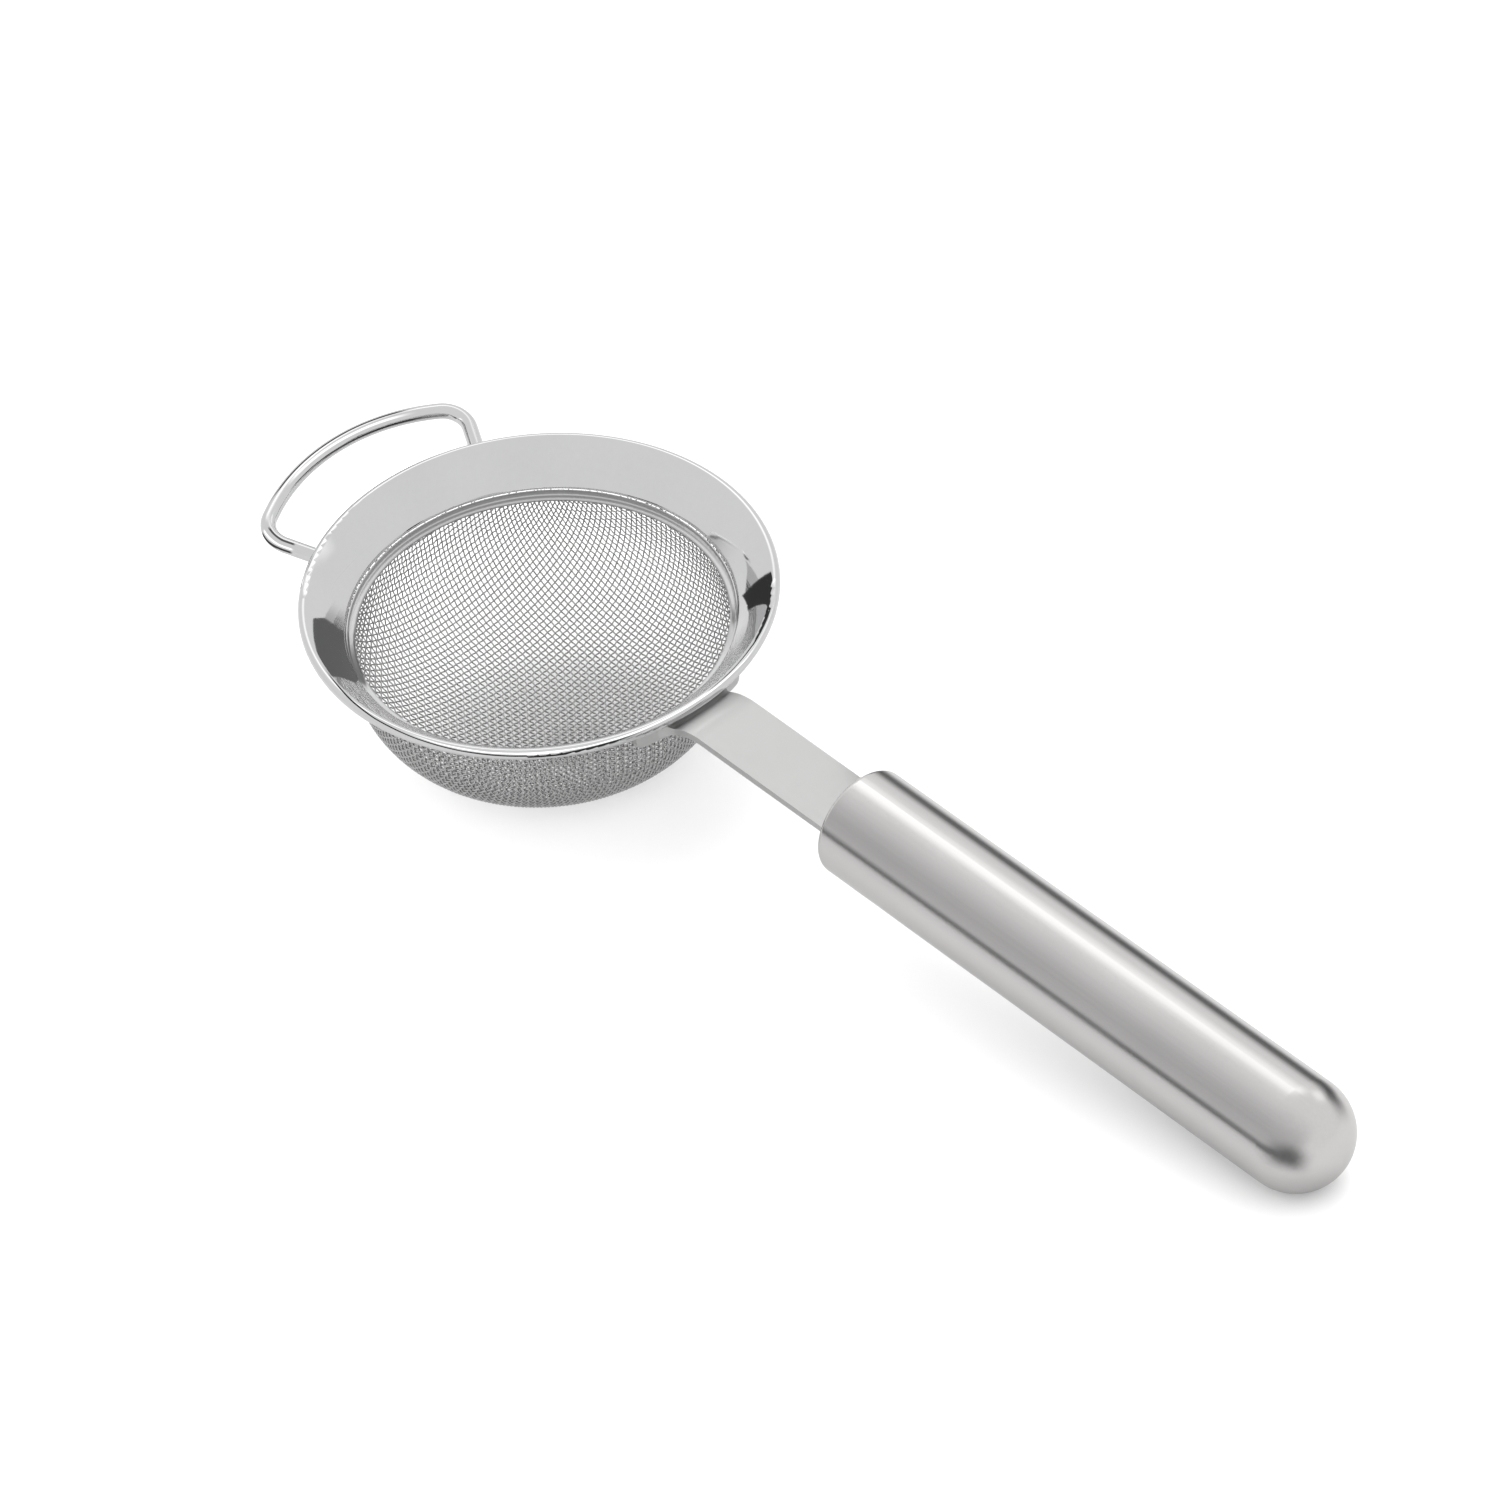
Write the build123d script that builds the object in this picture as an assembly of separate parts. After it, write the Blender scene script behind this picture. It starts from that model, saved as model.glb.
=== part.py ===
from build123d import *
import os
from math import asin, atan2, cos, degrees, hypot, radians, sin, sqrt, tan

# Hand-held tea strainer: a flared rim ring with a rolled edge, a deep mesh bowl held in it by
# an inner clamp ring, a flat neck welded under the rim, a round hollow handle and a bent-wire
# hanging loop.  All in millimetres.
#
# Every piece is first drawn in the rim frame (rim axis = Z, rolled edge centred on z = 0,
# handle towards +X, mirror plane y = 0).  The whole strainer is then tipped about Y so that
# the bowl and the domed handle end both stand on the table, z = 0.

# ---- rolled edge and flare (rim frame) ----
bead_ring_r = 39.05       # radius of the circle the rolled edge follows
bead_r = 0.95             # half the thickness of the rolled edge
sheet_t = 0.7             # rim sheet thickness
flare_top_slope = 36.0    # degrees, slope of the flare where it runs into the rolled edge
flare_foot_r = 32.65      # upper surface of the flare at its foot
flare_foot_z = -5.7
flare_foot_slope = 80.0   # degrees, after a tighter turn at the foot
flare_turn_r = 1.4        # radius of that turn

# ---- mesh bowl ----
mesh_t = 0.45             # thickness of the woven sheet, two wires deep
bowl_top_r = 33.0         # outside radius at the top of the mesh
bowl_wall_z = -7.4        # the wall is upright above this height
bowl_taper = 4.2          # degrees, lean of the wall below it
bowl_corner_r = 17.1      # outside radius of the turn from wall to bottom
bowl_bottom_r = 58.0      # outside radius of the shallow bottom
bowl_depth = 30.8         # from the rolled edge's centre down to the lowest point

# ---- inner clamp ring ----
clamp_inner_r = 31.2
clamp_top_z = -5.8
clamp_leg_t = 0.2         # thickness of the upright leg that lies against the mesh
clamp_shelf_z = -6.75     # flat top of the leg that points inwards
clamp_lip_z = -7.2
clamp_base_z = -7.4
clamp_edge = 0.3          # rounding of the inner edge and of the corner behind it

# ---- neck and its flange ----
neck_w = 12.2
neck_t = 1.25
neck_bend_x = 43.4        # where the strip turns down towards the rim
neck_dip = 28.0           # degrees of that turn
neck_bend_r = 12.0
neck_lift = 0.55          # neck mid-plane above the handle axis
flange_r = 38.2           # outer face of the curved flange
flange_half_w = 11.3
flange_bottom_z = -4.35
flange_corner = 1.2
neck_root_r = 1.6         # hollow rounding where the strip's top meets the flange
neck_side_r = 4.0         # hollow curves, in plan, that widen the strip towards the flange
neck_seat = 0.5           # how far those curves run into the flange

# ---- handle ----
handle_x = 77.4           # front end of the tube, on its axis
handle_z = -1.2
handle_slope = 1.2        # degrees, falling away from the rim
handle_r = 9.45
handle_length = 107.4
handle_wall = 1.2
handle_front_edge = 0.9   # rounding of the tube's front edge
cap_t = 2.4

# ---- hanging loop, drawn in its own plane ----
loop_wire_r = 1.36
loop_pivot_x = 38.0       # the loop's plane passes through this distance from the rim axis ...
loop_pivot_z = -1.85      # ... at this height ...
loop_rise = 12.9          # ... and rises outward by this many degrees
loop_reach = 14.4         # from the pivot out to the middle of the far run
loop_run_r = 36.6         # radius of the far run
loop_corner_r = 4.6
loop_leg_y = 18.95        # half the spacing of the legs, abreast of the pivot
loop_leg_spread = 26.7    # degrees the legs lean apart
loop_leg_tail = 7.6       # how far each leg runs back under the flare from the pivot


def pt(r, z):
    """A point of the rim frame's mirror plane."""
    return (r, 0, z)


def arc_about(centre, radius, a_start, a_end):
    """An arc in the mirror plane, angles in radians from +X towards +Z."""
    a_mid = (a_start + a_end) / 2
    ends = []
    for a in (a_start, a_mid, a_end):
        ends.append(pt(centre[0] + radius * cos(a), centre[1] + radius * sin(a)))
    return ThreePointArc(*ends)


def closed_face(edges):
    return make_face(Wire(edges))


def round_body(face):
    return revolve(face, Axis.Z, 360)


def largest_solid(body):
    return sorted(body.solids(), key=lambda part: part.volume)[-1]


def reach_to_tangent(ax, ay, direction, gap):
    """How far to go from (ax, ay) along a unit direction to lie at distance gap from (0, 0)."""
    along = ax * direction[0] + ay * direction[1]
    return -along + sqrt(along ** 2 - (ax ** 2 + ay ** 2 - gap ** 2))


# ---------------------------------------------------------------- rim ring
tangent_rounds = 40       # settles the shared tangent far below a micron


def flare_geometry():
    """Centres and radii of the flare's long arc and of its foot turn, with their end slopes."""
    s_top = radians(flare_top_slope)
    s_foot = radians(flare_foot_slope)
    top = (bead_ring_r - bead_r * sin(s_top), bead_r * cos(s_top))
    turn_c = (flare_foot_r + flare_turn_r * sin(s_foot), flare_foot_z - flare_turn_r * cos(s_foot))
    # the long arc leaves the rolled edge's slope and meets the foot turn at a shared tangent
    s_join = s_foot
    for _ in range(tangent_rounds):
        low = (turn_c[0] - flare_turn_r * sin(s_join), turn_c[1] + flare_turn_r * cos(s_join))
        rise = top[1] - low[1]
        run = top[0] - low[0]
        s_join = 2 * atan2(rise, run) - s_top
    radius = hypot(rise, run) / (2 * sin((s_join - s_top) / 2))
    centre = (low[0] + radius * sin(s_join), low[1] - radius * cos(s_join))
    return centre, radius, turn_c, (s_top, s_join, s_foot)


def make_rim_ring():
    centre, radius, turn_c, slopes = flare_geometry()
    a_top, a_join, a_foot = [slope + radians(90) for slope in slopes]
    upper_turn = arc_about(turn_c, flare_turn_r, a_foot, a_join)
    upper = arc_about(centre, radius, a_join, a_top)
    lower = arc_about(centre, radius - sheet_t, a_top, a_join)
    lower_turn = arc_about(turn_c, flare_turn_r - sheet_t, a_join, a_foot)
    top_end = Line(upper @ 1, lower @ 0)
    foot_end = Line(lower_turn @ 1, upper_turn @ 0)
    sheet = closed_face([upper_turn, upper, top_end, lower, lower_turn, foot_end])
    bead = round_body(Plane.XZ * Pos(bead_ring_r, 0) * Circle(bead_r))
    return round_body(sheet) + bead


# --------------------------------------------------------------- mesh bowl
def bowl_geometry(inset):
    """Bowl meridian moved inwards by inset: wall end, corner arc and bottom arc."""
    lean = radians(bowl_taper)
    down = (-sin(lean), -cos(lean))
    inward = (-cos(lean), sin(lean))
    bottom_c = (0.0, bowl_bottom_r - bowl_depth)
    ax = bowl_top_r + bowl_corner_r * inward[0] - bottom_c[0]
    az = bowl_wall_z + bowl_corner_r * inward[1] - bottom_c[1]
    reach = reach_to_tangent(ax, az, down, bowl_bottom_r - bowl_corner_r)
    corner_c = (ax + bottom_c[0] + reach * down[0], az + bottom_c[1] + reach * down[1])
    a_wall = -lean
    a_turn = atan2(corner_c[1] - bottom_c[1], corner_c[0] - bottom_c[0])
    corner = arc_about(corner_c, bowl_corner_r - inset, a_wall, a_turn)
    bottom = arc_about(bottom_c, bowl_bottom_r - inset, a_turn, radians(-90))
    wall_top = pt(bowl_top_r + inset * inward[0], bowl_wall_z + inset * inward[1])
    return wall_top, corner, bottom


def make_mesh_bowl():
    top_out, corner_out, bottom_out = bowl_geometry(0)
    top_in, corner_in, bottom_in = bowl_geometry(mesh_t)
    rim_out = pt(bowl_top_r, flare_foot_z)
    rim_in = pt(top_in[0], flare_foot_z)
    outline = [
        Line(rim_out, top_out),
        Line(top_out, corner_out @ 0),
        corner_out,
        bottom_out,
        Line(bottom_out @ 1, bottom_in @ 1),
        bottom_in,
        corner_in,
        Line(corner_in @ 0, top_in),
        Line(top_in, rim_in),
        Line(rim_in, rim_out),
    ]
    return round_body(closed_face(outline))


def make_clamp_ring():
    """An angle section: a thin upright leg against the mesh and a flat leg pointing inwards."""
    outer = bowl_geometry(mesh_t)[0][0]
    corners = [
        pt(outer, clamp_top_z),
        pt(outer - clamp_leg_t, clamp_top_z),
        pt(outer - clamp_leg_t, clamp_shelf_z),
        pt(clamp_inner_r, clamp_shelf_z),
        pt(clamp_inner_r, clamp_lip_z),
        pt(outer, clamp_base_z),
    ]
    ring = round_body(make_face(Polyline(*corners, close=True)))
    rounded = []
    for edge in ring.edges().filter_by(GeomType.CIRCLE):
        z = edge.center().Z
        if abs(z - clamp_shelf_z) < clamp_edge / 2:
            rounded.append(edge)
    return fillet(rounded, clamp_edge)


# ------------------------------------------------------ handle and its cap
def handle_place():
    return Location((handle_x, 0, handle_z), (0, handle_slope, 0))


def tube_profile(radius, front, edge):
    """Half outline of a rod with a domed far end, its axis on X."""
    dome_x = handle_length - handle_r
    parts = []
    if edge > 0:
        parts.append(Line(pt(front, 0), pt(front, radius - edge)))
        parts.append(arc_about((front + edge, radius - edge), edge, radians(180), radians(90)))
    else:
        parts.append(Line(pt(front, 0), pt(front, radius)))
    parts.append(Line(parts[-1] @ 1, pt(dome_x, radius)))
    parts.append(arc_about((dome_x, 0), radius, radians(90), 0))
    parts.append(Line(parts[-1] @ 1, parts[0] @ 0))
    return closed_face(parts)


def make_handle_tube():
    outside = revolve(tube_profile(handle_r, 0, handle_front_edge), Axis.X, 360)
    inside = revolve(tube_profile(handle_r - handle_wall, -1, 0), Axis.X, 360)
    return handle_place() * (outside - inside)


def make_end_cap():
    """A disc that closes the tube's mouth, flush with its front edge."""
    disc = Rot(0, 90, 0) * Cylinder(handle_r - handle_wall, cap_t)
    return handle_place() * Pos(cap_t / 2, 0, 0) * disc


# -------------------------------------------------------------------- neck
def strip_body(low_x, width):
    """The neck strip: straight out from the end cap's face, then dipping to the flange."""
    fall = radians(handle_slope)
    end = pt(handle_x + neck_lift * sin(fall), handle_z + neck_lift * cos(fall))
    bend = pt(neck_bend_x, end[2] + (end[0] - neck_bend_x) * tan(fall))
    low = pt(low_x, bend[2] - (neck_bend_x - low_x) * tan(radians(neck_dip)))
    path = FilletPolyline(low, bend, end, radius=neck_bend_r)
    section = Plane(origin=path @ 1, z_dir=path % 1, x_dir=(0, 1, 0)) * Rectangle(width, neck_t)
    return sweep(section, path=path)


def strip_plan():
    """Outline of the strip from above, widening in two hollow curves towards the flange."""
    length = 2 * handle_x
    plan = Circle(flange_r - neck_seat) + Rectangle(length, neck_w, align=(Align.MIN, Align.CENTER))
    roots = []
    for corner in plan.vertices():
        if 0 < corner.X < flange_r:
            roots.append(corner)
    return fillet(roots, neck_side_r)


def root_edge(body):
    """The hollow edge between the strip's top and the flange's outer face."""
    found = []
    for edge in body.edges().filter_by(GeomType.ELLIPSE):
        centre = edge.center()
        if abs(centre.Y) < neck_seat and abs(centre.X - flange_r) < neck_seat:
            found.append(edge)
    return sorted(found, key=lambda edge: edge.center().Z)[-1]


def make_neck(rim):
    """The strip with its curved flange, cut to the underside of the flare."""
    flange_in = flange_r - neck_t
    height = bead_r - flange_bottom_z
    foot = (Align.CENTER, Align.CENTER, Align.MIN)
    tall = Pos(0, 0, flange_bottom_z) * Cylinder(flange_r, height, align=foot)
    bore = Pos(0, 0, flange_bottom_z) * Cylinder(flange_in, height, align=foot)
    outline = RectangleRounded(2 * flange_half_w, height, flange_corner)
    window = Plane.YZ * Pos(0, flange_bottom_z + height / 2) * outline
    flange = (tall - bore) & extrude(window, 2 * flange_r)
    column = Pos(0, 0, flange_bottom_z) * extrude(strip_plan(), height)
    strip = (strip_body(flange_in - neck_t, 2 * flange_half_w) & column) - bore
    body = largest_solid(flange + strip)
    return largest_solid(body.fillet(neck_root_r, [root_edge(body)]) - rim)


# ------------------------------------------------------------ hanging loop
def make_loop(rim):
    """Round wire: two leaning legs, two tight corners and a gently bowed far run."""
    spread = radians(loop_leg_spread)
    leg = (cos(spread), sin(spread))
    inward = (sin(spread), -cos(spread))
    run_c = loop_reach - loop_run_r
    ax = loop_corner_r * inward[0] - run_c
    ay = loop_leg_y + loop_corner_r * inward[1]
    reach = reach_to_tangent(ax, ay, leg, loop_run_r - loop_corner_r)
    cx = ax + run_c + reach * leg[0]
    cy = ay + reach * leg[1]
    a_leg = degrees(atan2(-inward[1], -inward[0]))
    a_run = degrees(atan2(cy, cx - run_c))
    start = (-loop_leg_tail * leg[0], loop_leg_y - loop_leg_tail * leg[1])
    corner = CenterArc((cx, cy), loop_corner_r, a_leg, a_run - a_leg)
    run = CenterArc((run_c, 0), loop_run_r, a_run, -2 * a_run)
    mirrored = CenterArc((cx, -cy), loop_corner_r, -a_run, a_run - a_leg)
    first = Line(start, corner @ 0)
    last = Line(mirrored @ 1, (start[0], -start[1]))
    rise = radians(loop_rise)
    plane = Plane(
        origin=(-loop_pivot_x, 0, loop_pivot_z),
        x_dir=(-cos(rise), 0, sin(rise)),
        z_dir=(sin(rise), 0, cos(rise)),
    )
    path = plane * Wire([first, corner, run, mirrored, last])
    section = Plane(origin=path @ 0, z_dir=path % 0) * Circle(loop_wire_r)
    return largest_solid(sweep(section, path=path) - rim)


# ------------------------------------------------------ standing on a table
def table_place():
    """Tip by the common tangent under the bowl's bottom and the handle's dome."""
    fall = radians(handle_slope)
    reach = handle_length - handle_r
    dome = (handle_x + reach * cos(fall), handle_z - reach * sin(fall))
    bottom_c = bowl_bottom_r - bowl_depth
    dz = bottom_c - dome[1]
    span = hypot(dome[0], dz)
    tip = asin((bowl_bottom_r - handle_r) / span) - atan2(dz, dome[0])
    # the tipped centre of the bottom's sphere ends up straight above the contact point
    shift = bottom_c * sin(tip)
    lift = bowl_bottom_r - bottom_c * cos(tip)
    return Pos(-shift, 0, lift) * Rot(0, degrees(tip), 0)


def build():
    rim = make_rim_ring()
    clamp = make_clamp_ring()
    bowl = make_mesh_bowl() - rim
    neck = make_neck(rim)
    pieces = {
        "rim_ring": rim,
        "mesh_clamp_ring": clamp,
        "mesh_bowl": bowl,
        "neck_bracket": neck,
        "handle_tube": make_handle_tube(),
        "handle_end_cap": make_end_cap(),
        "hanging_loop": make_loop(rim),
    }
    place = table_place()
    placed = {}
    for name, shape in pieces.items():
        placed[name] = place * shape
    return placed


os.makedirs("parts", exist_ok=True)
for node, shape in build().items():
    shape.label = node
    export_step(shape, "parts/" + node + ".step")
    box = shape.bounding_box()
    print(node, len(shape.solids()), round(shape.volume, 1), box.min, box.max)
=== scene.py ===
"""Looks of a hand-held tea strainer: woven wire bowl, polished rim and loop, satin neck, brushed handle.

The bowl's wires are drawn in the rim frame: millimetres, rim axis Z, rolled edge centred on z = 0,
handle towards +X.  rim_to_row() measures on the CAD rim where that frame sits in the row frame.
"""

import math

import bpy
import numpy as np
from mathutils import Matrix, Vector


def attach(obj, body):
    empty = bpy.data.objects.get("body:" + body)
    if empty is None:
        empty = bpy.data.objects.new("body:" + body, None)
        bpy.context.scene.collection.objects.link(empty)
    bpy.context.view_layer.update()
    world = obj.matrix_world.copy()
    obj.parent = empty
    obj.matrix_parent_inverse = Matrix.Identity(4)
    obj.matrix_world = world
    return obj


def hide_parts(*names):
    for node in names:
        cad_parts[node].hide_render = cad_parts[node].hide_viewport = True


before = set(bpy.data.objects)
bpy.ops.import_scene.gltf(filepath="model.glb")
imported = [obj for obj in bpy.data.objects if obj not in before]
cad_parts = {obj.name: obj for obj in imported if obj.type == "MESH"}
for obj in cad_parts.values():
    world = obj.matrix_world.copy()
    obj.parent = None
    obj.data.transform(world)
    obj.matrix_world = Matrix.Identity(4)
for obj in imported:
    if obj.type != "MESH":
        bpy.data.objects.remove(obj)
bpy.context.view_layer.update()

MM = 0.001
BODY = "root"

# ---- rim, rim frame, mm: rolled edge and upper face of the flare ----
BEAD_RING_R = 39.05       # radius of the circle the rolled edge follows
BEAD_R = 0.95             # half its thickness
FLARE_TOP_SLOPE = 36.0    # degrees, where the flare runs into the rolled edge
FLARE_R = 22.4            # radius of the flare's arc

# ---- bowl surface, rim frame, mm: the outer face of the CAD bowl ----
BOWL_TOP_R = 33.0
BOWL_WALL_Z = -7.4        # the wall is upright above this height
BOWL_TAPER = math.radians(4.2)
BOWL_CORNER_R = 17.1
BOWL_BOTTOM_R = 58.0
BOWL_DEPTH = 30.8
CLOTH_TOP_Z = -5.95       # the wires end here, under the foot of the flare

# ---- wire cloth, mm ----
WIRE_R = 0.135
WARP_PITCH = 1.05         # step along X between the wires that run across the handle axis
WEFT_PITCH = 0.857        # step along Y between the wires that run along it
NET_SIZE = 70             # most wires either side of the centre
DRAPE_PAST = 1.5          # cells draped beyond the height where the wires end
SOLVE_ROUNDS = 30         # most rounds spent on settling one crossing
TINY = 1e-9               # a length taken as nothing
STEPS = 4                 # samples of a wire from one crossing to the next
SIDES = 6                 # corners of a wire's section
MIN_CROSSINGS = 3         # a stretch of wire with fewer crossings is left out ...
MIN_RUN = 6               # ... and so is one with fewer samples

# ---- hanging loop ----
LOOP_BLEND = 3.0          # degrees about the loop's middle over which its centre line is averaged


# ------------------------------------------------------------ places from the frame
def node_points(name):
    """Distinct corner positions of a CAD node, in metres."""
    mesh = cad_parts[name].data
    co = np.empty(3 * len(mesh.vertices))
    mesh.vertices.foreach_get("co", co)
    return np.unique(co.reshape(-1, 3).round(7), axis=0)


def tube_direction(name):
    """Unit vector along a long CAD node, pointing towards +X."""
    points = node_points(name)
    axis = np.linalg.svd(points - points.mean(0), full_matrices=False)[2][0]
    return axis * np.sign(axis[0])


def rim_to_row():
    """4x4 array that takes rim-frame millimetres to row-frame metres."""
    points = node_points("rim_ring")
    axes = np.linalg.svd(points - points.mean(0), full_matrices=False)[2]
    up = axes[2] * np.sign(axes[2][2])
    out = np.cross((0.0, 1.0, 0.0), up)
    out /= np.linalg.norm(out)
    side = np.cross(up, out)
    turn = np.array([out, side, up])
    local = points @ turn.T
    low, high = local.min(0), local.max(0)
    centre = (low + high) / 2
    centre[2] = high[2] - BEAD_R * MM
    place = np.eye(4)
    place[:3, :3] = turn.T * MM
    place[:3, 3] = centre @ turn
    return place


def rim_surface(place):
    """Gives a function for the point and normal of the rim's upper side, in the row frame."""

    def rim_point(around, lean):
        """around is the angle from +X about the rim's axis; lean is the normal's tilt away from
        that axis, below -FLARE_TOP_SLOPE on the flare and above it on the rolled edge; degrees."""
        centre, radius = np.array([BEAD_RING_R, 0.0]), BEAD_R
        if lean < -FLARE_TOP_SLOPE:
            top = math.radians(-FLARE_TOP_SLOPE)
            centre = centre + (BEAD_R - FLARE_R) * np.array([math.sin(top), math.cos(top)])
            radius = FLARE_R
        normal = np.array([math.sin(math.radians(lean)), math.cos(math.radians(lean))])
        at = centre + radius * normal
        a = math.radians(around)
        point = np.array([at[0] * math.cos(a), at[0] * math.sin(a), at[1]])
        facing = np.array([normal[0] * math.cos(a), normal[0] * math.sin(a), normal[1]])
        return place[:3, :3] @ point + place[:3, 3], place[:3, :3] @ facing / MM

    return rim_point


def handle_surface():
    """Gives a function for the point and normal of the handle, in the row frame."""
    points = node_points("handle_tube")
    axis = tube_direction("handle_tube")
    side = np.array([0.0, 1.0, 0.0])
    up = np.cross(axis, side)
    up *= np.sign(up[2])
    reach = points @ axis
    radius = np.abs(points[:, 1]).max()
    centre_up = ((points @ up).max() + (points @ up).min()) / 2
    front = reach.min()
    straight = reach.max() - radius - front

    def handle_point(along, lean):
        """along is in mm from the front, and past the straight part runs on over the dome; lean
        is the normal's tilt from upright, towards +Y, in degrees."""
        past = max(0.0, along * MM - straight) / radius
        radial = math.cos(math.radians(lean)) * up + math.sin(math.radians(lean)) * side
        normal = math.cos(past) * radial + math.sin(past) * axis
        foot = (front + min(along * MM, straight)) * axis + centre_up * up
        return foot + radius * normal, normal

    return handle_point


def loop_surface():
    """Gives a function for the point and normal of the hanging loop's wire, in the row frame."""
    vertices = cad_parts["hanging_loop"].data.vertices
    co, normals = np.empty(3 * len(vertices)), np.empty(3 * len(vertices))
    vertices.foreach_get("co", co)
    vertices.foreach_get("normal", normals)
    co, normals = co.reshape(-1, 3), normals.reshape(-1, 3)
    middle = (co.max(0) + co.min(0)) / 2
    up = np.linalg.svd(co - co.mean(0), full_matrices=False)[2][2]
    up *= np.sign(up[2])
    side = np.array([0.0, 1.0, 0.0])
    ahead = np.cross(side, up)
    wire_r = np.ptp(co @ up) / 2
    centres = co - wire_r * normals - middle
    angles = np.degrees(np.arctan2(centres @ side, centres @ ahead))

    def centre_at(around):
        off = (angles - around + 180) % 360 - 180
        weight = np.exp(-((off / LOOP_BLEND) ** 2))
        return weight @ centres / weight.sum()

    def loop_point(around, lean):
        """around is the angle about the loop's middle, 0 towards the rim and 90 towards +Y; lean is
        the normal's tilt out of the loop, away from upright; degrees."""
        centre = centre_at(around)
        outwards = np.cross(centre_at(around + LOOP_BLEND) - centre_at(around - LOOP_BLEND), up)
        outwards *= np.sign(outwards @ centre) / np.linalg.norm(outwards)
        normal = math.cos(math.radians(lean)) * up + math.sin(math.radians(lean)) * outwards
        return middle + centre + wire_r * normal, normal

    return loop_point


# ------------------------------------------------------------ bowl surface
def bowl_surface(inset):
    """Bottom sphere, corner torus and wall that lie inset inside the bowl's outer face."""
    down = (-math.sin(BOWL_TAPER), -math.cos(BOWL_TAPER))
    inward = (-math.cos(BOWL_TAPER), math.sin(BOWL_TAPER))
    bottom_z = BOWL_BOTTOM_R - BOWL_DEPTH
    ax = BOWL_TOP_R + BOWL_CORNER_R * inward[0]
    az = BOWL_WALL_Z + BOWL_CORNER_R * inward[1] - bottom_z
    along = ax * down[0] + az * down[1]
    gap = BOWL_BOTTOM_R - BOWL_CORNER_R
    reach = -along + math.sqrt(along**2 - (ax**2 + az**2 - gap**2))
    corner = (ax + reach * down[0], az + bottom_z + reach * down[1])
    return {
        "bottom_z": bottom_z,
        "bottom_r": BOWL_BOTTOM_R - inset,
        "corner": corner,
        "corner_r": BOWL_CORNER_R - inset,
        "turn": math.atan2(corner[1] - bottom_z, corner[0]),
        "wall": (BOWL_TOP_R + inset * inward[0], BOWL_WALL_Z + inset * inward[1]),
    }


def outward(point, surface):
    """Signed distance of a point outside the surface, and the surface's outward normal there."""
    x, y, z = point
    r = math.hypot(x, y)
    wall_r, wall_z = surface["wall"]
    corner_r, corner_z = surface["corner"]
    if math.atan2(z - surface["bottom_z"], r) < surface["turn"]:
        length = math.hypot(r, z - surface["bottom_z"])
        nr, nz = r / length, (z - surface["bottom_z"]) / length
        distance = length - surface["bottom_r"]
    elif math.atan2(z - corner_z, r - corner_r) < -BOWL_TAPER:
        length = math.hypot(r - corner_r, z - corner_z)
        nr, nz = (r - corner_r) / length, (z - corner_z) / length
        distance = length - surface["corner_r"]
    elif z < wall_z:
        nr, nz = math.cos(BOWL_TAPER), -math.sin(BOWL_TAPER)
        distance = (r - wall_r) * nr + (z - wall_z) * nz
    else:
        nr, nz = 1.0, 0.0
        distance = r - wall_r
    if r < TINY:
        return distance, np.array([0.0, 0.0, nz])
    return distance, np.array([nr * x / r, nr * y / r, nz])


# ------------------------------------------------------------ draped cloth
def settle(guess, anchors, plane, surface):
    """The point on the surface at given distances from its anchors, and in a plane through 0."""
    point = np.array(guess, float)
    for _ in range(SOLVE_ROUNDS):
        distance, normal = outward(point, surface)
        rows, errors = [normal], [distance]
        for anchor, length in anchors:
            rows.append(2 * (point - anchor))
            errors.append((point - anchor) @ (point - anchor) - length**2)
        if plane is not None:
            rows.append(plane)
            errors.append(point @ plane)
        step = np.linalg.solve(np.array(rows), np.array(errors))
        biggest = np.abs(step).max()
        point = point - step * min(1.0, WEFT_PITCH / 2 / max(biggest, TINY))
        if biggest < TINY:
            break
    return point


def drape(surface):
    """Crossings of square cloth pressed over the bowl: the wires keep their length, the cells shear.

    One quarter of the cloth, as an array of points [i along X, j along Y]; nan above the rim.
    """
    net = np.full((NET_SIZE, NET_SIZE, 3), np.nan)
    top = CLOTH_TOP_Z + DRAPE_PAST * WARP_PITCH
    net[0, 0] = (0, 0, surface["bottom_z"] - surface["bottom_r"])
    along_x, along_y = np.array([1.0, 0, 0]), np.array([0, 1.0, 0])
    for k in range(1, NET_SIZE):
        last = net[k - 1, 0]
        if last[2] < top:
            ahead = last - net[k - 2, 0] if k > 1 else WARP_PITCH * along_x
            net[k, 0] = settle(last + ahead, [(last, WARP_PITCH)], along_y, surface)
        last = net[0, k - 1]
        if last[2] < top:
            ahead = last - net[0, k - 2] if k > 1 else WEFT_PITCH * along_y
            net[0, k] = settle(last + ahead, [(last, WEFT_PITCH)], along_x, surface)
    for total in range(2, 2 * NET_SIZE - 1):
        for i in range(max(1, total - NET_SIZE + 1), min(total, NET_SIZE)):
            j = total - i
            a, b, c = net[i - 1, j], net[i, j - 1], net[i - 1, j - 1]
            if not (a[2] < top and b[2] < top):
                continue
            net[i, j] = settle(a + b - c, [(a, WARP_PITCH), (b, WEFT_PITCH)], None, surface)
    return net


def mirrored(net, i, j):
    """A crossing of the whole cloth, from the quarter that is draped."""
    return net[abs(i), abs(j)] * (-1 if i < 0 else 1, -1 if j < 0 else 1, 1)


def stretches(flags):
    """Start and end (past the last) of each unbroken run of true flags."""
    edges = np.flatnonzero(np.diff(np.concatenate([[0], flags.astype(int), [0]])))
    return list(zip(edges[::2], edges[1::2]))


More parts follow.
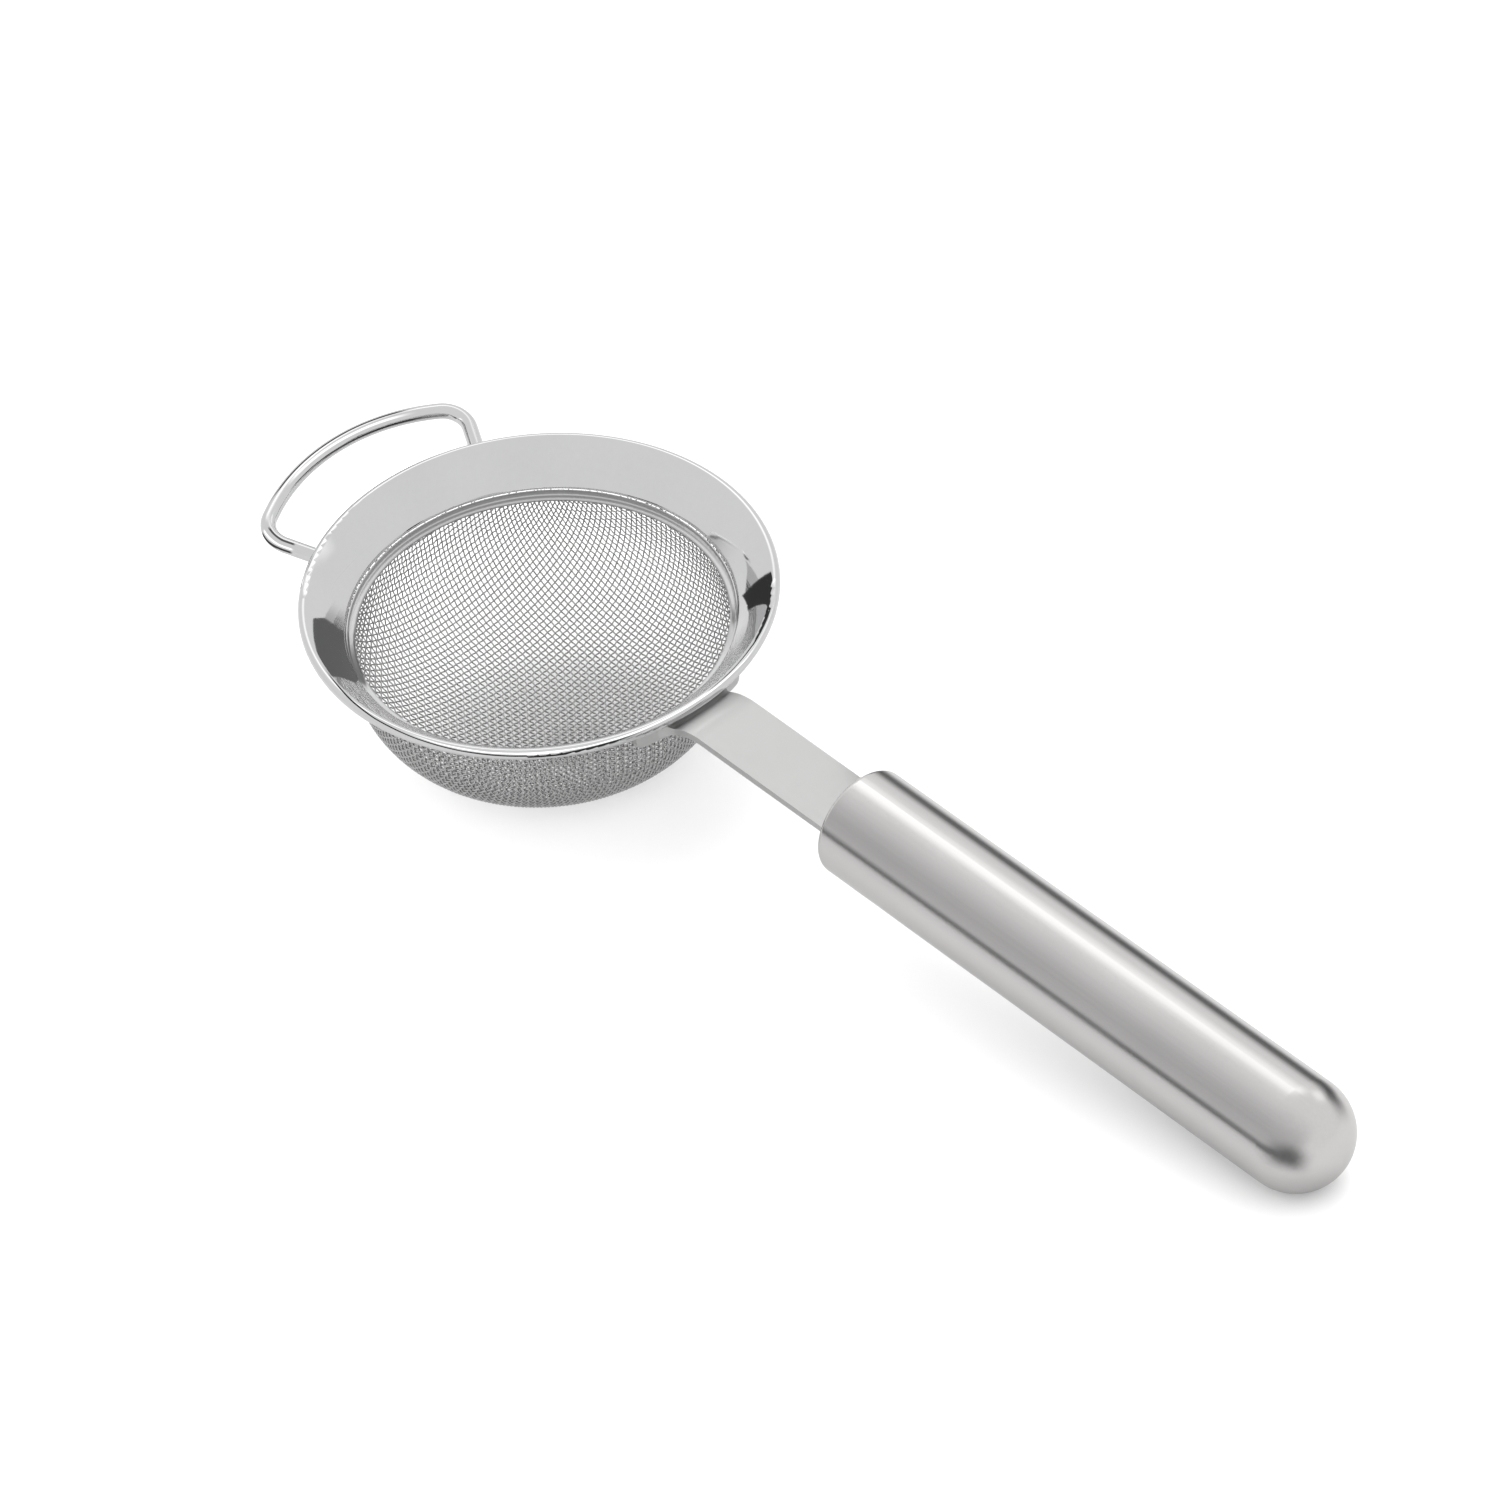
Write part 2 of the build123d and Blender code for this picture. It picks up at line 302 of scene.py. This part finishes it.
def wire_runs(net, surface, along_x, number):
    """Centre lines of one wire inside the bowl, as arrays of (point, outward normal) samples."""
    steps = range(1 - NET_SIZE, NET_SIZE)
    points = np.array([mirrored(net, k, number) if along_x else mirrored(net, number, k) for k in steps])
    runs = []
    for first, last in stretches(~np.isnan(points[:, 0])):
        if last - first < MIN_CROSSINGS:
            continue
        part = points[first:last]
        padded = np.vstack([2 * part[0] - part[1], part, 2 * part[-1] - part[-2]])
        t = np.arange(0, (len(part) - 1) * STEPS + 1) / STEPS
        cell = np.minimum(t.astype(int), len(part) - 2)
        u = (t - cell)[:, None]
        p0, p1, p2, p3 = (padded[cell + k] for k in range(4))
        # a Catmull-Rom curve through the crossings
        line = 0.5 * (2 * p1 + (p2 - p0) * u + (2 * p0 - 5 * p1 + 4 * p2 - p3) * u**2
                      + (3 * p1 - p0 - 3 * p2 + p3) * u**3)
        normals = np.array([outward(p, surface)[1] for p in line])
        wave = np.cos(math.pi * (t + steps[first] + number)) * (1 if along_x else -1)
        line = line + WIRE_R * wave[:, None] * normals
        for a, b in stretches(line[:, 2] < CLOTH_TOP_Z):
            if b - a >= MIN_RUN:
                runs.append((line[a:b], normals[a:b]))
    return runs


def tube_mesh(name, runs, place):
    """One mesh of closed tubes along the given runs."""
    angles = 2 * math.pi * np.arange(SIDES) / SIDES
    verts, faces, total = [], [], 0
    for line, normals in runs:
        tangent = np.gradient(line, axis=0)
        tangent /= np.linalg.norm(tangent, axis=1)[:, None]
        side = np.cross(tangent, normals)
        side /= np.linalg.norm(side, axis=1)[:, None]
        up = np.cross(tangent, side)
        ring = (side[:, None] * np.cos(angles)[:, None] + up[:, None] * np.sin(angles)[:, None])
        verts.append((line[:, None] + WIRE_R * ring).reshape(-1, 3))
        count = len(line)
        base = total + SIDES * np.arange(count - 1)[:, None]
        k = np.arange(SIDES)
        nxt = (k + 1) % SIDES
        quads = np.stack([base + k, base + nxt, base + SIDES + nxt, base + SIDES + k], -1)
        faces.extend(quads.reshape(-1, 4).tolist())
        faces.append((total + k[::-1]).tolist())
        faces.append((total + SIDES * (count - 1) + k).tolist())
        total += SIDES * count
    co = np.vstack(verts) @ place[:3, :3].T + place[:3, 3]
    mesh = bpy.data.meshes.new(name)
    mesh.from_pydata(co.tolist(), [], faces)
    mesh.polygons.foreach_set("use_smooth", [len(f) == 4 for f in faces])
    mesh.update()
    return mesh


def make_cloth(place, material):
    """Warp and weft of the bowl, each in two halves so that no piece grows too heavy."""
    surface = bowl_surface(2 * WIRE_R)  # midway between the two layers of wire
    net = drape(surface)
    for family, along_x in (("weft", True), ("warp", False)):
        for half, numbers in (("a", range(1 - NET_SIZE, 0)), ("b", range(0, NET_SIZE))):
            runs = []
            for number in numbers:
                runs.extend(wire_runs(net, surface, along_x, number))
            name = "mesh_" + family + "_" + half
            piece = bpy.data.objects.new(name, tube_mesh(name, runs, place))
            bpy.context.scene.collection.objects.link(piece)
            piece.data.materials.append(material)
            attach(piece, BODY)
            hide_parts("mesh_bowl")


# ------------------------------------------------------------ materials
NOISE_LOW, NOISE_HIGH = 0.3, 0.7      # between these lies most of a noise's range
SMUDGE_SCALE = 60.0                   # smudges per metre
SMUDGE_TONE = 0.015                   # how far they lighten or darken the steel
SMUDGE_LOW, SMUDGE_HIGH = 0.45, 0.75  # the part of their range that takes off gloss
GRAIN_DEPTH = 0.0001                  # metres
# name: colour, roughness, grain per metre along and across, whether the grain follows the handle,
# spread of roughness, spread of tone, strength of the grain's relief
STEELS = {
    "woven_wire": ((0.47, 0.47, 0.468), 0.2, (1500, 1500, 1500), False, 0.03, 0.08, 0.03),
    "polished_steel": ((0.60, 0.60, 0.605), 0.06, (900, 900, 900), False, 0.015, 0.01, 0.01),
    "satin_steel": ((0.49, 0.488, 0.485), 0.38, (400, 1600, 1600), True, 0.03, 0.012, 0.02),
    "brushed_steel": ((0.60, 0.59, 0.586), 0.21, (25, 2600, 2600), True, 0.03, 0.02, 0.02),
    "dull_steel": ((0.5, 0.5, 0.502), 0.3, (900, 900, 900), False, 0.03, 0.01, 0.01),
}
# CAD node: its steel
DRESS = {
    "rim_ring": "polished_steel",
    "hanging_loop": "polished_steel",
    "mesh_clamp_ring": "dull_steel",
    "neck_bracket": "satin_steel",
    "handle_tube": "brushed_steel",
    "handle_end_cap": "brushed_steel",
}


class Nodes:
    """A short way to write a node tree."""

    def __init__(self, tree):
        self.tree = tree
        tree.nodes.clear()

    def add(self, kind, inputs=None, **settings):
        node = self.tree.nodes.new(kind)
        for key, value in settings.items():
            setattr(node, key, value)
        for key, value in (inputs or {}).items():
            if isinstance(value, bpy.types.NodeSocket):
                self.tree.links.new(value, node.inputs[key])
            else:
                node.inputs[key].default_value = value
        return node

    def math(self, operation, a, b=0.0):
        node = self.add("ShaderNodeMath", operation=operation)
        for socket, value in zip(node.inputs, (a, b)):
            if isinstance(value, bpy.types.NodeSocket):
                self.tree.links.new(value, socket)
            else:
                socket.default_value = value
        return node.outputs[0]

    def ramp(self, value, low, high, to_low, to_high):
        return self.add(
            "ShaderNodeMapRange",
            {"Value": value, "From Min": low, "From Max": high, "To Min": to_low, "To Max": to_high},
        ).outputs["Result"]


def steel(name, grain_turn):
    """Bare steel: grain noise, stretched along the work, drives tone, gloss and relief."""
    colour, rough, grain_scale, along_handle, rough_spread, tone_spread, relief = STEELS[name]
    material = bpy.data.materials.new(name)
    material.use_nodes = True
    nodes = Nodes(material.node_tree)
    coords = nodes.add("ShaderNodeTexCoord").outputs["Object"]
    turn = grain_turn if along_handle else (0, 0, 0)
    turned = nodes.add("ShaderNodeMapping", {"Vector": coords, "Rotation": turn}).outputs[0]
    grain_at = nodes.add("ShaderNodeMapping", {"Vector": turned, "Scale": grain_scale}).outputs[0]
    grain = nodes.add(
        "ShaderNodeTexNoise", {"Vector": grain_at, "Scale": 1.0, "Detail": 4.0, "Roughness": 0.6}
    ).outputs["Fac"]
    smudge = nodes.add(
        "ShaderNodeTexNoise", {"Vector": coords, "Scale": SMUDGE_SCALE, "Detail": 3.0}
    ).outputs["Fac"]
    grain_tone = nodes.ramp(grain, NOISE_LOW, NOISE_HIGH, 1 - tone_spread, 1 + tone_spread)
    smudge_tone = nodes.ramp(smudge, NOISE_LOW, NOISE_HIGH, 1 - SMUDGE_TONE, 1 + SMUDGE_TONE)
    tone = nodes.math("MULTIPLY", grain_tone, smudge_tone)
    shade = nodes.add("ShaderNodeVectorMath", {0: colour, "Scale": tone}, operation="SCALE")
    grain_rough = nodes.ramp(grain, NOISE_LOW, NOISE_HIGH, rough - rough_spread, rough + rough_spread)
    smudge_rough = nodes.ramp(smudge, SMUDGE_LOW, SMUDGE_HIGH, 0.0, rough_spread)
    roughness = nodes.math("ADD", grain_rough, smudge_rough)
    normal = nodes.add(
        "ShaderNodeBump", {"Height": grain, "Strength": relief, "Distance": GRAIN_DEPTH}
    ).outputs["Normal"]
    shader = nodes.add(
        "ShaderNodeBsdfPrincipled",
        {"Base Color": shade.outputs["Vector"], "Metallic": 1.0, "Roughness": roughness,
         "Normal": normal},
    )
    nodes.add("ShaderNodeOutputMaterial", {"Surface": shader.outputs["BSDF"]})
    return material


def dress_all(steels):
    """Gives the CAD nodes their steels, in their own material slots."""
    for name, steel_name in DRESS.items():
        for material_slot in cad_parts[name].material_slots:
            material_slot.material = steels[steel_name]


# ------------------------------------------------------------ studio
STUDIO_CENTRE = Vector((0.02, 0.0, 0.02))
CARD_DISTANCE = 3.0       # metres from the centre to the far cards
CARD_COLUMNS = 6          # steps across a near card
WORLD_WHITE = 1.0         # radiance of the sky
WORLD_FILL = 1.6          # the same sky as the matt floor sees it
KEY_AZIMUTH, KEY_ELEVATION = 125.0, 52.0
KEY_POWER = 4.5           # watts
KEY_SIZE = 1.0            # metres
KEY_DISTANCE = 1.2        # metres from the centre
# name, azimuth, elevation, width and height in degrees, soft edge as a share, radiance
CARDS = (
    ("card_key", 137.0, 53.5, 60.0, 30.0, 0.9, 1.9),
    ("card_back", 84.0, 36.0, 26.0, 26.0, 0.6, 1.4),
)
# Cards close to the steel, each laid out by where its reflection falls.  A row is a station on the
# surface and the leans from and to which the reflection reaches there, as rim_point(), handle_point()
# and loop_point() take them.
# name, surface, distance in m, radiance, soft ends and soft sides as shares, rows
NEAR_CARDS = (
    ("flag_right_patch", "rim", 0.006, 0.05, 0.06, 0.06,
     ((50.5, -55, -34), (47, -53, -20), (41, -50, -8), (38.5, -38, 4), (35, -30, 10))),
    ("flag_right_line", "rim", 0.003, 0.05, 0.2, 0.2,
     ((38, -30, 14), (32, -20, 14), (24, -8, 12), (12, -2, 10), (2, 2, 8))),
    ("flag_left_patch", "rim", 0.006, 0.17, 0.06, 0.06,
     ((-130, -57, -46), (-127, -57, -39), (-116, -57, -37), (-108, -57, -34), (-103, -50, -28))),
    ("card_left_foot", "rim", 0.006, 1.0, 0.6, 0.1,
     ((-168, -57, -52), (-145, -57, -47), (-130, -57, -46))),
    ("card_right_foot", "rim", 0.006, 1.0, 0.6, 0.2,
     ((84, -57, -54), (72, -57, -46), (58, -57, -48), (50.5, -57, -52), (44, -57, -50),
      (34, -57, -46), (20, -57, -44))),
    ("flag_lip_line", "rim", 0.003, 0.04, 0.2, 0.2,
     ((-108, -34, -14), (-100, -20, -2), (-92, 4, 22), (-84, 24, 38), (-72, 40, 52), (-60, 54, 66),
      (-48, 60, 76), (-36, 60, 76), (-24, 50, 64), (-14, 44, 50))),
    ("card_lip", "rim", 0.003, 2.4, 0.3, 0.2,
     ((-78, 14, 24), (-66, 28, 40), (-54, 36, 50), (-42, 38, 54), (-30, 36, 52), (-18, 24, 42),
      (-6, 14, 30), (6, 16, 32), (18, 26, 40), (28, 34, 42))),
    ("flag_handle_top", "handle", 0.012, 0.12, 0.1, 0.9,
     ((-12, 15, 40), (97.9, 15, 40), (102, 14, 44), (107, 10, 56))),
    ("flag_handle_side", "handle", 0.02, 0.6, 0.05, 1.0,
     ((-12, -84, -12), (97.9, -84, -12), (106, -90, -10))),
    ("flag_handle_line", "handle", 0.007, 0.18, 0.05, 0.9,
     ((-8, -69, -59), (97.9, -69, -59), (101, -71, -58), (104, -74, -56))),
    ("flag_handle_dome", "handle", 0.007, 0.18, 0.9, 0.9,
     ((99, -78, -48), (103.5, -82, -42), (108, -92, -34))),
    ("flag_loop_band", "loop", 0.004, 0.06, 0.2, 0.4,
     ((106, -62, -50), (113, -78, -60), (119, -82, -62), (132, -81, -62), (145, -80, -61),
      (162, -75, -60), (180, -70, -58), (197, -64, -54), (215, -58, -50), (241, -48, -41))),
    ("card_loop_band", "loop", 0.004, 2.0, 0.3, 0.5,
     ((113, -34, -12), (119, -36, -14), (132, -35, -13), (145, -34, -12), (162, -33, -11),
      (180, -31, -9), (197, -29, -7), (215, -26, -4), (228, -23, 0), (241, -19, 3))),
    ("flag_loop_edge", "loop", 0.004, 0.1, 0.2, 0.3,
     ((113, 2, 20), (119, 3, 21), (132, 4, 22), (145, 6, 23), (162, 8, 25), (180, 9, 26),
      (197, 11, 28), (215, 14, 31), (228, 17, 34), (241, 21, 38), (252, 45, 62))),
    ("flag_loop_leg", "loop", 0.004, 0.08, 0.2, 0.4, ((262, 66, 92), (274, 66, 92), (285, 66, 92))),
    ("card_loop_leg", "loop", 0.004, 2.0, 0.2, 0.4, ((262, 44, 60), (274, 44, 60), (285, 44, 60))),
    ("flag_loop_leg_top", "loop", 0.004, 0.15, 0.2, 0.4, ((262, 0, 21), (274, 0, 21), (285, 0, 21))),
)


def towards(azimuth, elevation):
    """Unit vector at these degrees from +X and from the floor."""
    a, e = math.radians(azimuth), math.radians(elevation)
    return Vector((math.cos(e) * math.cos(a), math.cos(e) * math.sin(a), math.sin(e)))


def card_material(name, soft_ends, soft_sides, radiance):
    """Even light or darkness that fades out over these shares of the card's length and width."""
    material = bpy.data.materials.new(name)
    material.use_nodes = True
    nodes = Nodes(material.node_tree)
    uv = nodes.add("ShaderNodeTexCoord").outputs["UV"]
    parts = nodes.add("ShaderNodeSeparateXYZ", {"Vector": uv})
    cover = None
    for axis, softness in (("X", soft_ends), ("Y", soft_sides)):
        centred = nodes.math("SUBTRACT", parts.outputs[axis], 0.5)
        from_edge = nodes.math("SUBTRACT", 0.5, nodes.math("ABSOLUTE", centred))
        share = nodes.add(
            "ShaderNodeMapRange",
            {"Value": from_edge, "From Min": 0.0, "From Max": softness / 2},
            interpolation_type="SMOOTHSTEP",
        ).outputs["Result"]
        cover = share if cover is None else nodes.math("MULTIPLY", cover, share)
    glow = nodes.add("ShaderNodeEmission", {"Strength": radiance}).outputs[0]
    clear = nodes.add("ShaderNodeBsdfTransparent").outputs[0]
    mix = nodes.add("ShaderNodeMixShader", {0: cover, 1: clear, 2: glow}).outputs[0]
    nodes.add("ShaderNodeOutputMaterial", {"Surface": mix})
    return material


def only_in_reflections(card):
    """Puts a card on the stage, where it lights nothing and casts no shadow."""
    bpy.context.scene.collection.objects.link(card)
    card.visible_camera = False
    card.visible_diffuse = False
    card.visible_shadow = False
    card.visible_transmission = False
    card.visible_volume_scatter = False


def add_card(name, azimuth, elevation, width, height, softness, radiance):
    """A card seen only in reflections, square to the object, sized by the angle it fills."""
    half_w = CARD_DISTANCE * math.tan(math.radians(width / 2))
    half_h = CARD_DISTANCE * math.tan(math.radians(height / 2))
    mesh = bpy.data.meshes.new(name)
    corners = [(-half_w, -half_h, 0), (half_w, -half_h, 0), (half_w, half_h, 0), (-half_w, half_h, 0)]
    mesh.from_pydata(corners, [], [(0, 1, 2, 3)])
    uv = mesh.uv_layers.new(name="UVMap")
    for loop, at in zip(uv.data, ((0, 0), (1, 0), (1, 1), (0, 1))):
        loop.uv = at
    card = bpy.data.objects.new(name, mesh)
    away = towards(azimuth, elevation)
    card.location = STUDIO_CENTRE + CARD_DISTANCE * away
    card.rotation_euler = away.to_track_quat("Z", "Y").to_euler()
    mesh.materials.append(card_material(name, softness, softness, radiance))
    only_in_reflections(card)


def mirror_spot(spot, distance):
    """Where a ray from the camera goes, so far after it meets the surface at (point, normal)."""
    point, normal = spot
    ray = point - np.array(camera_spot())
    ray /= np.linalg.norm(ray)
    return point + distance * (ray - 2 * (ray @ normal) * normal)


def add_near_card(name, surface_point, distance, radiance, soft_ends, soft_sides, rows):
    """A narrow strip close to the surface, whose reflection covers the given rows of it."""
    verts, faces = [], []
    for station, low, high in rows:
        for lean in np.linspace(low, high, CARD_COLUMNS + 1):
            verts.append(mirror_spot(surface_point(station, lean), distance))
    for row in range(len(rows) - 1):
        for k in range(CARD_COLUMNS):
            a = row * (CARD_COLUMNS + 1) + k
            faces.append((a, a + 1, a + CARD_COLUMNS + 2, a + CARD_COLUMNS + 1))
    mesh = bpy.data.meshes.new(name)
    mesh.from_pydata([tuple(v) for v in verts], [], faces)
    uv = mesh.uv_layers.new(name="UVMap")
    first, last = rows[0][0], rows[-1][0]
    for loop, corner in zip(uv.data, mesh.loops):
        row, column = divmod(corner.vertex_index, CARD_COLUMNS + 1)
        loop.uv = ((rows[row][0] - first) / (last - first), column / CARD_COLUMNS)
    mesh.materials.append(card_material(name, soft_ends, soft_sides, radiance))
    only_in_reflections(bpy.data.objects.new(name, mesh))


def make_studio(surfaces):
    """White sky, one soft lamp, and the cards that the steel reflects."""
    world = bpy.data.worlds.new("studio")
    bpy.context.scene.world = world
    world.use_nodes = True
    nodes = Nodes(world.node_tree)
    matt = nodes.add("ShaderNodeLightPath").outputs["Is Diffuse Ray"]
    strength = nodes.ramp(matt, 0.0, 1.0, WORLD_WHITE, WORLD_FILL)
    sky = nodes.add("ShaderNodeBackground", {"Color": (1, 1, 1, 1), "Strength": strength})
    nodes.add("ShaderNodeOutputWorld", {"Surface": sky.outputs[0]})
    key = bpy.data.lights.new("key_light", "AREA")
    key.shape = "SQUARE"
    key.size = KEY_SIZE
    key.energy = KEY_POWER
    lamp = bpy.data.objects.new("key_light", key)
    bpy.context.scene.collection.objects.link(lamp)
    away = towards(KEY_AZIMUTH, KEY_ELEVATION)
    lamp.location = STUDIO_CENTRE + KEY_DISTANCE * away
    lamp.rotation_euler = away.to_track_quat("Z", "Y").to_euler()
    lamp.visible_glossy = False
    for card in CARDS:
        add_card(*card)
    for name, surface, *card in NEAR_CARDS:
        add_near_card(name, surfaces[surface], *card)


FLOOR_HALF = 6.0          # metres
FLOOR_CLOUDS = 9.0        # faint patches per metre ...
FLOOR_DARK, FLOOR_LIGHT = 0.89, 0.91  # ... and the tones between which they lie
FLOOR_IN_STEEL = 0.66     # how much of the floor's tone its reflections keep


def make_floor():
    """A pale floor with the faint unevenness of painted board."""
    mesh = bpy.data.meshes.new("floor")
    corners = [(x * FLOOR_HALF, y * FLOOR_HALF, 0) for x, y in ((-1, -1), (1, -1), (1, 1), (-1, 1))]
    mesh.from_pydata(corners, [], [(0, 1, 2, 3)])
    floor = bpy.data.objects.new("floor", mesh)
    bpy.context.scene.collection.objects.link(floor)
    material = bpy.data.materials.new("pale_floor")
    material.use_nodes = True
    nodes = Nodes(material.node_tree)
    coords = nodes.add("ShaderNodeTexCoord").outputs["Object"]
    cloud = nodes.add("ShaderNodeTexNoise", {"Vector": coords, "Scale": FLOOR_CLOUDS, "Detail": 2.0})
    tone = nodes.ramp(cloud.outputs["Fac"], NOISE_LOW, NOISE_HIGH, FLOOR_DARK, FLOOR_LIGHT)
    seen = nodes.add("ShaderNodeLightPath").outputs["Is Camera Ray"]
    tone = nodes.math("MULTIPLY", tone, nodes.ramp(seen, 0.0, 1.0, FLOOR_IN_STEEL, 1.0))
    colour = nodes.add("ShaderNodeCombineColor", {"Red": tone, "Green": tone, "Blue": tone})
    matt = nodes.add("ShaderNodeBsdfDiffuse", {"Color": colour.outputs[0]})
    nodes.add("ShaderNodeOutputMaterial", {"Surface": matt.outputs[0]})
    mesh.materials.append(material)


# ------------------------------------------------------------ camera
AIM = Vector((0.0449, 0.0023, 0.020))  # the point in the middle of the picture, metres
CAMERA_AZIMUTH, CAMERA_ELEVATION, CAMERA_ROLL = -35.94, 38.0, -9.92
CAMERA_DISTANCE = 1.3312  # metres from there
CAMERA_LENS, CAMERA_SENSOR = 196.68, 36.0  # mm
CAMERA_REACH = 20.0       # metres


def camera_spot():
    """Where the camera stands."""
    return AIM + CAMERA_DISTANCE * towards(CAMERA_AZIMUTH, CAMERA_ELEVATION)


def make_camera():
    """A long lens, rolled about its line of sight."""
    camera = bpy.data.cameras.new("camera")
    camera.lens = CAMERA_LENS
    camera.sensor_width = CAMERA_SENSOR
    camera.clip_end = CAMERA_REACH
    holder = bpy.data.objects.new("camera", camera)
    bpy.context.scene.collection.objects.link(holder)
    back = towards(CAMERA_AZIMUTH, CAMERA_ELEVATION)
    upright = back.to_track_quat("Z", "Y").to_matrix()
    roll = Matrix.Rotation(math.radians(CAMERA_ROLL), 3, "Z")
    turn = (upright @ roll).to_4x4()
    holder.matrix_world = Matrix.Translation(camera_spot()) @ turn
    bpy.context.scene.camera = holder


def set_picture():
    scene = bpy.context.scene
    scene.view_settings.view_transform = "Standard"
    scene.view_settings.look = "None"
    scene.cycles.use_denoising = True


rim_place = rim_to_row()
handle_along = tube_direction("handle_tube")
handle_turn = (0, math.atan2(handle_along[2], handle_along[0]), 0)
steels = {name: steel(name, handle_turn) for name in STEELS}
make_cloth(rim_place, steels["woven_wire"])
dress_all(steels)
make_floor()
make_studio({"rim": rim_surface(rim_place), "handle": handle_surface(), "loop": loop_surface()})
make_camera()
set_picture()
